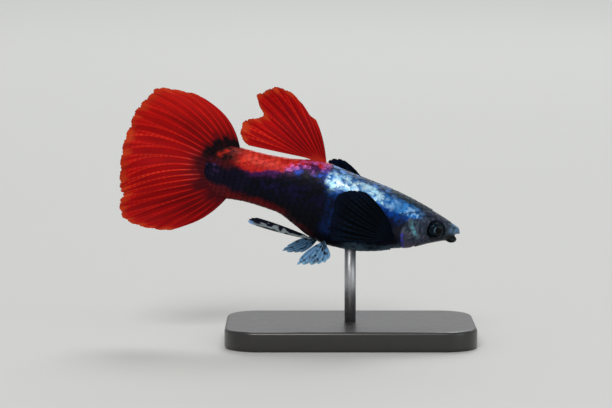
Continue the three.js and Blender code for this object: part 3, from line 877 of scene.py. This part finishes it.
def finShape(form):
    # a fin's points and faces, and what its paint goes by at each point
    rays, rows = form["rays"], form["rows"]
    columns = rays * form["columnsPerRay"]
    a = np.linspace(0, 1, columns + 1)
    t = np.linspace(0, 1, rows + 1)
    start = throughPoints(form["root"], a)
    end = throughPoints(form["margin"], a)
    # the margin dips between the rays and is a little ragged
    cell = (a * rays) % 1 - 0.5
    rng = np.random.default_rng(3)
    uneven = np.interp(a * rays, np.arange(rays + 1), rng.standard_normal(rays + 1))
    shorter = form["scallop"] * (np.abs(cell) * 2) ** 2 + form["ragged"] * uneven
    fine = form["ragged"] * np.sin(a * rays * 2 * math.pi * 4)
    end = end + (start - end) * (shorter + fine * (np.abs(cell) > 0.1))[:, None]
    first, last = form["leaving"]
    leaving = np.radians(first + (last - first) * a)
    heading = np.stack([np.cos(leaving), np.sin(leaving)], axis=-1)
    reach = np.linalg.norm(end - start, axis=1) * form["bow"]
    turnAt = start + heading * reach[:, None]
    start = start - heading * form["sunk"]
    tt = t[None, :, None]
    flat = start[:, None] * (1 - tt) ** 2 + 2 * turnAt[:, None] * tt * (1 - tt) + end[:, None] * tt**2
    cells, ts = np.meshgrid(cell, t, indexing="ij")
    ays = np.repeat(a[:, None], rows + 1, axis=1)
    ridge = rayRidge(cells, ts, form["split"])
    joints = 1 - 0.3 * soft(0.25, 0.5, ts) * (0.5 + 0.5 * np.cos(ts * form["joints"]))
    thick, edge = form["thick"]
    flare = form["flare"] * soft(0.16, 0, ts)
    half = (thick + (edge - thick) * ts) / 2 + flare / 2 + form["ridge"] * ridge * (1 - 0.55 * ts) * joints
    half = half * (1 - 0.6 * soft(0.96, 1.0, ts))
    pleat = form["pleat"] * np.cos(ays * rays * math.pi + math.pi / 2) * soft(0.05, 0.6, ts)
    x, z = flat[..., 0], flat[..., 1]
    middle = form["bend"](x, z) + pleat
    sheets = [np.stack([x, middle + face * half, z], axis=-1).reshape(-1, 3) for face in (-1, 1)]
    points = np.vstack(sheets)
    # the near face, the far face, and the edge round both
    sheet = (columns + 1) * (rows + 1)
    near = gridFaces(columns + 1, rows + 1, False)
    index = np.arange(sheet).reshape(columns + 1, rows + 1)
    rim = np.concatenate([index[:-1, 0], index[-1, :-1], index[:0:-1, -1], index[0, :0:-1]])
    after = np.roll(rim, -1)
    edges = np.stack([after, rim, rim + sheet, after + sheet], axis=-1)
    faces = np.vstack([near, near[:, ::-1] + sheet, edges])
    near = {"x": x, "z": z, "t": ts, "a": ays, "ridge": ridge * joints}
    both = {key: np.tile(values.ravel(), 2) for key, values in near.items()}
    return points, faces, {**both, "points": points, "rays": rays}


def makeFin(name, form, paintOf, place=None, material=finMaterial):
    points, faces, shape = finShape({**finHabit, **form})
    paint = paintOf(shape)
    if place is not None:
        points = place(points)
    piece = makePiece(name.removeprefix("fin_") + "_fin", points, faces, material, paint)
    fixWinding(piece)
    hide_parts(name)


def fixWinding(piece):
    # turns the faces out if the sheet came out inside out
    work = bmesh.new()
    work.from_mesh(piece.data)
    if work.calc_volume(signed=True) < 0:
        bmesh.ops.reverse_faces(work, faces=work.faces)
    work.to_mesh(piece.data)
    work.free()


def finMottle(s, across, along, seed):
    # patches that run along the rays
    return mottle(np.stack([s["a"] * s["rays"] * across, s["t"] * along, s["t"] * 0], axis=-1), 1.0, seed)


def redFinPaint(s, seed, strong, deep, dark):
    # red membrane with fine streaks, brighter rays, dark wedges from the root and a warmer margin
    rng = np.random.default_rng(seed)
    index = np.minimum((s["a"] * s["rays"]).astype(int), s["rays"] - 1)
    rayTone = rng.uniform(0.0, 0.3, s["rays"])[index] + strong * rng.uniform(0.1, 0.85, s["rays"])[index]
    wedgeEnd = deep * rng.uniform(0.7, 1.3, s["rays"])[index]
    between = 1 - s["ridge"]
    patch = mottle(s["points"], 1.6, 3)
    streak = finMottle(s, 4.3, 3.5, 4)
    broad = finMottle(s, 1.3, 2, 6)
    line = soft(0.5, 1.0, s["ridge"])
    paint = colour(206, 11, 11)
    paint = layer(paint, (160, 2, 9), 0.8 * soft(0.2, 0.9, between + 0.8 * broad))
    wedge = soft(0.3, 0.95, between + 0.6 * streak) * soft(wedgeEnd + 0.2, wedgeEnd - 0.25, s["t"])
    paint = layer(paint, (92, 0, 7), 0.85 * dark * wedge)
    paint = layer(paint, (250, 66, 34), rayTone * line * (0.8 + streak))
    paint = layer(paint, (200, 66, 26), 0.8 * soft(0.88, 1.0, s["t"] + 0.1 * patch + 0.1 * streak))
    return paint * (0.68 * (1 + 0.4 * streak + 0.15 * patch))[:, None]


def tailFinPaint(s):
    middle = soft(0.36, 0.42, s["a"]) * soft(0.72, 0.66, s["a"])
    paint = redFinPaint(s, 3, middle, 0.5 - 0.22 * middle, 0.8)
    paint = layer(paint, (192, 34, 18), 0.3 * soft(0.5, 0.1, s["a"]) * s["t"])
    paint = paint * (1 - 0.28 * soft(0.55, 0.85, s["a"]) * soft(1.0, 0.8, s["t"]))[:, None]
    pale = middle * s["ridge"] * soft(0.34, 0.12, s["t"])
    paint = layer(paint, (190, 78, 78), 0.5 * pale)
    # maroon and black blots run out over the root, most above
    far = np.hypot(s["x"] - 1, s["z"])
    patch = mottle(s["points"], 1.1, 1)
    blot = mottle(s["points"], 0.5, 13)
    streak = finMottle(s, 2, 2, 8)
    upper = soft(-0.8, 2.2, s["z"])
    edge = 4.1 + 0.1 * upper + 0.9 * patch + 0.7 * blot + 0.9 * streak
    paint = layer(paint, (88, 3, 9), 0.9 * soft(edge + 1.2, edge - 0.3, far))
    paint = layer(paint, (34, 5, 13), soft(edge + 0.3, edge - 0.5, far) * (0.66 + 0.34 * upper))
    black = soft(edge + 0.1, edge - 0.55, far) * soft(-0.12, 0.12, blot + 0.3 * patch + 0.35 * upper - 0.22)
    return layer(paint, (8, 3, 6), 0.9 * black * upper * (1 - 0.45 * soft(0.5, 1, s["ridge"])))


redFinForm = {"bow": 0.5, "thick": (0.3, 0.14), "ridge": 0.032, "pleat": 0.024, "scallop": 0.02}
tailFin = {
    **redFinForm,
    "root": [
        (1 + math.cos(math.radians(86 + 23.5 * i)) * 3.5, math.sin(math.radians(86 + 23.5 * i)) * 3.57)
        for i in range(9)
    ],
    "margin": [
        (-3.3, 7.4), (-5.5, 7.9), (-8.2, 7.75), (-10.2, 7.3), (-10.8, 6.1), (-11.7, 4.6), (-12.25, 2.8),
        (-12.45, 0.6), (-12.25, -2.0), (-11.7, -4.6), (-11.3, -5.8), (-10.85, -6.3), (-11.05, -7.3),
        (-10.4, -8.8), (-8.6, -9.35), (-6.0, -9.25), (-4.1, -8.75), (-2.9, -7.95),
    ],
    "leaving": (112, 246),
    "rays": 24,
    "rows": 90,
    "bend": lambda x, z: sweepAt(x) + 0.28 * np.sin(z * 0.75 + 0.4) * np.clip((0.5 - x) / 8, 0, 1),
    "sunk": 1.2,
    "flare": 0.05,
    "joints": 110,
}
makeFin("fin_tail", tailFin, tailFinPaint)


def dorsalPaint(s):
    rear = soft(0.6, 0.85, s["a"])
    paint = redFinPaint(s, 5, 0.25 + 0.75 * rear, 0.7 - 0.4 * rear, 0.6)
    return layer(paint, (190, 54, 30), 0.5 * soft(0.14, 0.02, s["t"]))


dorsalFin = {
    **redFinForm,
    "root": [(x, float(backAt(x)) + above) for x, above in ((11.75, 0.3), (10.4, 0.32), (8.8, 0.35))],
    "margin": [
        (9.25, 8.95), (8.5, 9.15), (7.0, 10.4), (5.3, 11.3), (3.5, 11.3), (2.6, 10.6), (1.75, 9.8),
        (2.3, 8.7), (3.05, 7.55), (1.75, 6.9), (0.95, 6.5), (0.85, 5.4), (1.25, 4.35), (2.2, 3.7),
    ],
    "leaving": (108, 184),
    "rays": 12,
    "rows": 80,
    "bend": lambda x, z: sweepAt(x) + 0.22 * np.sin((z - x) * 0.5) * np.clip((z - 4) / 4, 0, 1),
    "sunk": 0.7,
    "joints": 90,
}
makeFin("fin_dorsal", dorsalFin, dorsalPaint)


def breastPaint(s):
    # black, with fine blue-grey rays that fade towards the margin
    patch = mottle(s["points"], 1.3, 6)
    line = soft(0.4, 1.0, s["ridge"])
    paint = colour(1, 3, 6)
    paint = layer(paint, (34, 66, 104), 0.5 * line * (0.7 + patch) * (1 - 0.7 * s["t"]))
    return layer(paint, (12, 20, 46), 0.5 * soft(0.7, 1.0, s["t"]) * (0.5 + patch))


breastFins = {
    "right": {
        "at": (21.3, -1.8), "splay": 27, "lift": 7, "leaving": (140, 205),
        "margin": [
            (-5.1, 3.65), (-6.4, 3.5), (-7.8, 3.1), (-8.9, 2.4), (-9.25, 1.5), (-9.0, 0), (-8.4, -1.7),
            (-7.5, -3.1),
        ],
    },
    "left": {
        "at": (20.9, -1.7), "splay": 14, "lift": 35, "leaving": (165, 195),
        "margin": [
            (-6.0, 1.5), (-8.0, 1.6), (-9.7, 1.1), (-10.4, -0.1), (-9.9, -1.3), (-8.2, -2.1), (-6.2, -2.3),
        ],
    },
}
bellyFins = {
    "right": {
        "at": 14.0, "leaving": (318, 215),
        "margin": [(1.25, -1.1), (0.8, -1.9), (-0.1, -2.45), (-1.3, -2.8), (-2.4, -3.0), (-2.1, -1.8)],
    },
    "left": {
        "at": 12.7, "leaving": (262, 205),
        "margin": [(-0.6, -2.2), (-1.7, -2.7), (-3.1, -2.95), (-2.75, -2.1), (-2.1, -1.2)],
    },
}
bellyFinRoot = {"y": 0.85, "splay": 24}


def bellyPaint(s):
    # pale blue with black marks between the rays
    patch = mottle(s["points"], 0.7, 8)
    dots = mottle(s["points"], 0.3, 9)
    paint = colour(76, 116, 154)
    paint = layer(paint, (138, 178, 206), 0.8 * soft(0.3, 0.9, s["ridge"]))
    black = soft(0.0, 0.12, patch * 0.7 + 0.6 * dots - 0.03) * (1 - 0.5 * s["ridge"])
    paint = layer(paint, (10, 14, 26), black)
    return layer(paint, (128, 176, 206), 0.6 * soft(0.85, 1.0, s["t"]))


def analPaint(s):
    # a clear whitish middle between black edges, black near the tip, and a pale blue point
    dots = mottle(s["points"], 0.4, 11)
    paint = colour(120, 130, 134)
    paint = layer(paint, (176, 188, 192), 0.6 * s["ridge"])
    upper = soft(0.46, 0.64, s["a"] + 0.9 * dots)
    lower = soft(0.24, 0.12, s["a"] + 0.6 * dots)
    tip = soft(0.72, 0.84, s["t"] + 0.2 * dots) * soft(0.2, 0.4, s["a"])
    paint = layer(paint, (8, 10, 26), np.maximum(np.maximum(upper, 0.9 * lower), tip))
    return layer(paint, (120, 158, 210), soft(0.9, 0.97, s["t"]) * soft(0.5, 0.3, s["a"]))


def breastPlace(side, spread):
    atX, atZ = spread["at"]
    flank = float(halfAt(atX)) * math.sqrt(1 - (atZ / float(bellyAt(atX))) ** 2)
    middle = float(sweepAt(atX)) + side * (flank + 0.72)
    inwards = 1.04 - 0.9 * math.sin(math.radians(spread["splay"]))

    def place(points):
        # the fin's base curves in and ends inside the flank
        x, z = turned(points[:, 0], points[:, 2], -spread["lift"])
        y = points[:, 1] - side * inwards * soft(-2.4, 0.6, points[:, 0])
        x, y = turned(x, y, -side * spread["splay"])
        return np.stack([x + atX, y + middle, z + atZ], axis=-1)

    return place


def bellyPlace(side, atX):
    ratio = bellyFinRoot["y"] / float(halfAt(atX))
    rootZ = -float(bellyAt(atX)) * math.sqrt(1 - ratio**2) - 0.5
    middle = float(sweepAt(atX)) + side * (bellyFinRoot["y"] + 0.15)

    def place(points):
        y, z = turned(points[:, 1], points[:, 2], side * bellyFinRoot["splay"])
        return np.stack([points[:, 0] + atX, y + middle, z + rootZ], axis=-1)

    return place


breastForm = {
    "root": [(0.12, 0.85), (0, 0), (-0.05, -0.85)],
    "bow": 0.5,
    "rays": 13,
    "rows": 60,
    "thick": (0.26, 0.12),
    "ridge": 0.08,
    "pleat": 0.05,
    "scallop": 0.015,
    "bend": lambda x, z: 0.02 * z * z - 0.012 * x * x,
    "sunk": 0.9,
    "flare": 0.1,
}
bellyFinForm = {
    "root": [(0.6, 0), (-0.6, 0.05)],
    "bow": 0.4,
    "rays": 7,
    "rows": 40,
    "thick": (0.24, 0.1),
    "ridge": 0.07,
    "pleat": 0.04,
    "scallop": 0.1,
    "bend": lambda x, z: 0.03 * x * z,
    "sunk": 0.7,
}
for side, name in ((-1, "right"), (1, "left")):
    form, place = {**breastForm, **breastFins[name]}, breastPlace(side, breastFins[name])
    makeFin("fin_breast_" + name, form, breastPaint, place, darkFinMaterial)
    form, place = {**bellyFinForm, **bellyFins[name]}, bellyPlace(side, bellyFins[name]["at"])
    makeFin("fin_belly_" + name, form, bellyPaint, place)

analFin = {
    "root": [(x, -float(bellyAt(x)) - 0.42) for x in (12.1, 10.9)],
    "margin": [(4.9, -5.35), (4.6, -5.05), (4.9, -4.65), (5.6, -4.4)],
    "leaving": (186, 172),
    "bow": 0.45,
    "rays": 5,
    "rows": 70,
    "thick": (0.3, 0.16),
    "ridge": 0.08,
    "scallop": 0.03,
    "bend": lambda x, z: sweepAt(x),
    "sunk": 0.6,
    "split": (0.5, 0.8),
}
makeFin("fin_anal", analFin, analPaint)
print("fins made")


# stand

standForm = {
    "long": 30.0,
    "wide": 18.0,
    "thick": 2.4,
    "corner": 4.0,
    "bevel": 0.4,
    "rodRadius": 0.7,
    "rodSides": 64,
    "rodReach": 0.9,  # the rod's tip runs this far into the belly
}


def plainMaterial(name, baseColour, settings):
    material, nodes, links, shader = newMaterial(name)
    cloud = grain(nodes, links, settings["cloudPerMetre"], 4)
    tone = nodes.new("ShaderNodeMix")
    tone.data_type = "RGBA"
    tone.inputs[6].default_value = (*(baseColour * (1 - settings["cloud"])), 1)
    tone.inputs[7].default_value = (*(baseColour * (1 + settings["cloud"])), 1)
    links.new(cloud.outputs["Fac"], tone.inputs["Factor"])
    links.new(tone.outputs[2], shader.inputs["Base Color"])
    addSurface(nodes, links, shader, cloud, cloud.outputs["Fac"], settings, 0.00003)
    setInputs(shader, {"Metallic": settings.get("metal", 0), "Coat Weight": settings.get("coat", 0)})
    return material


baseMaterial = plainMaterial("black stand", colour(34, 33, 32), {
    "cloudPerMetre": 900, "cloud": 0.2, "roughness": (0.3, 0.42), "bump": 0.1, "coat": 0.2,
})
rodMaterial = plainMaterial("brushed steel", colour(176, 177, 180), {
    "cloudPerMetre": 2500, "cloud": 0.12, "roughness": (0.34, 0.5), "bump": 0.25, "metal": 1.0,
})


def makeStandBase():
    f = standForm
    rings = []
    bend = np.linspace(0, math.pi / 2, 8)
    profile = [(f["bevel"] * (1 - math.sin(a)), f["bevel"] * (1 - math.cos(a))) for a in bend]
    inner = f["bevel"] + 1.2
    top = [(inset, f["thick"] - low) for inset, low in reversed(profile)]
    for inset, z in [(inner, 0.0), *profile, *top, (inner, f["thick"])]:
        ring = []
        corner = max(f["corner"] - inset, 0.3)
        for quarter, (sx, sy) in enumerate(((1, -1), (1, 1), (-1, 1), (-1, -1))):
            cx = sx * (f["long"] / 2 - inset - corner)
            cy = sy * (f["wide"] / 2 - inset - corner)
            for a in np.radians(np.linspace(-90 + 90 * quarter, 90 * quarter, 16)):
                ring.append((cx + math.cos(a) * corner, cy + math.sin(a) * corner, z))
        rings.append(ring)
    points = np.array(rings).reshape(-1, 3) * 0.001
    faces = cappedFaces(len(rings), len(rings[0]))
    piece = makePiece("stand_foot", points, faces, baseMaterial, inFish=False)
    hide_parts("stand_base")


def makeStandRod():
    low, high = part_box("stand_rod")
    f = standForm
    x, y = (low[0] + high[0]) / 2, (low[1] + high[1]) / 2
    foot, tip = low[2] - 0.0006, high[2] + f["rodReach"] * 0.001
    levels = [(0.01, foot), (0.98, foot), (0.98, tip), (0.01, high[2] + 0.001)]
    points = []
    for share, z in levels:
        r = f["rodRadius"] * 0.001 * share
        for a in np.linspace(0, 2 * math.pi, f["rodSides"], endpoint=False):
            points.append((x + math.cos(a) * r, y + math.sin(a) * r, z))
    faces = cappedFaces(len(levels), f["rodSides"])
    piece = makePiece("stand_pin", np.array(points), faces, rodMaterial, inFish=False)
    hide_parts("stand_rod")


makeStandBase()
makeStandRod()
print("stand made")


# floor, light and camera

stageForm = {
    "floorHalf": 8.0,
    "floorColour": colour(190, 191, 188),
    "viewPoint": (-5.32, 0.0, 16.58),  # mm, what the middle of the picture looks at
    "pictureWide": 612 * 0.12,  # mm across the picture at the fish
    "away": 300.0,
    "height": 6.0,  # degrees above the horizon
}


def makeFloor():
    half = stageForm["floorHalf"]
    mesh = bpy.data.meshes.new("floor")
    corners = [(-half, -half, 0), (half, -half, 0), (half, half, 0), (-half, half, 0)]
    mesh.from_pydata(corners, [], [(0, 1, 2, 3)])
    floor = addObject("floor", mesh)
    material = plainMaterial("pale floor", stageForm["floorColour"], {
        "cloudPerMetre": 60, "cloud": 0.015, "roughness": (0.7, 0.8), "bump": 0.0,
    })
    mesh.materials.append(material)


def makeLight(name, place, target, size, watts, tint):
    data = bpy.data.lights.new(name, "AREA")
    data.size = size
    data.energy = watts
    data.color = tint
    aim(addObject(name, data), place, target)


def aim(thing, place, target):
    thing.location = place
    thing.rotation_euler = (Vector(target) - Vector(place)).to_track_quat("-Z", "Y").to_euler()


def makeCamera():
    f = stageForm
    target = np.array(f["viewPoint"]) * 0.001
    lift = math.radians(f["height"])
    away = f["away"] * 0.001
    place = target + np.array((0, -away * math.cos(lift), away * math.sin(lift)))
    data = bpy.data.cameras.new("camera")
    data.sensor_width = 36
    data.lens = 36 * f["away"] / f["pictureWide"]
    data.clip_start = 0.01
    camera = addObject("camera", data)
    aim(camera, tuple(place), tuple(target))
    bpy.context.scene.camera = camera


makeFloor()
middle = (-0.002, 0, 0.016)
makeLight("key", (-0.25, -1.0, 1.0), middle, 0.55, 11.0, (1.0, 0.98, 0.95))
makeLight("fill", (1.1, -0.7, 0.4), middle, 0.7, 2.5, (0.92, 0.96, 1.0))
makeLight("rim", (0.15, 0.8, 1.1), middle, 0.55, 7.0, (1.0, 1.0, 1.0))
makeLight("far floor", (0.0, 2.0, 1.0), (0.0, 2.1, 0.0), 1.6, 12.0, (1.0, 1.0, 1.0))
world = bpy.data.worlds.new("studio")
world.use_nodes = True
setInputs(world.node_tree.nodes["Background"], {"Color": (0.96, 0.97, 1.0, 1), "Strength": 0.45})
bpy.context.scene.world = world
bpy.context.scene.view_settings.view_transform = "Standard"
makeCamera()
print("stage made")
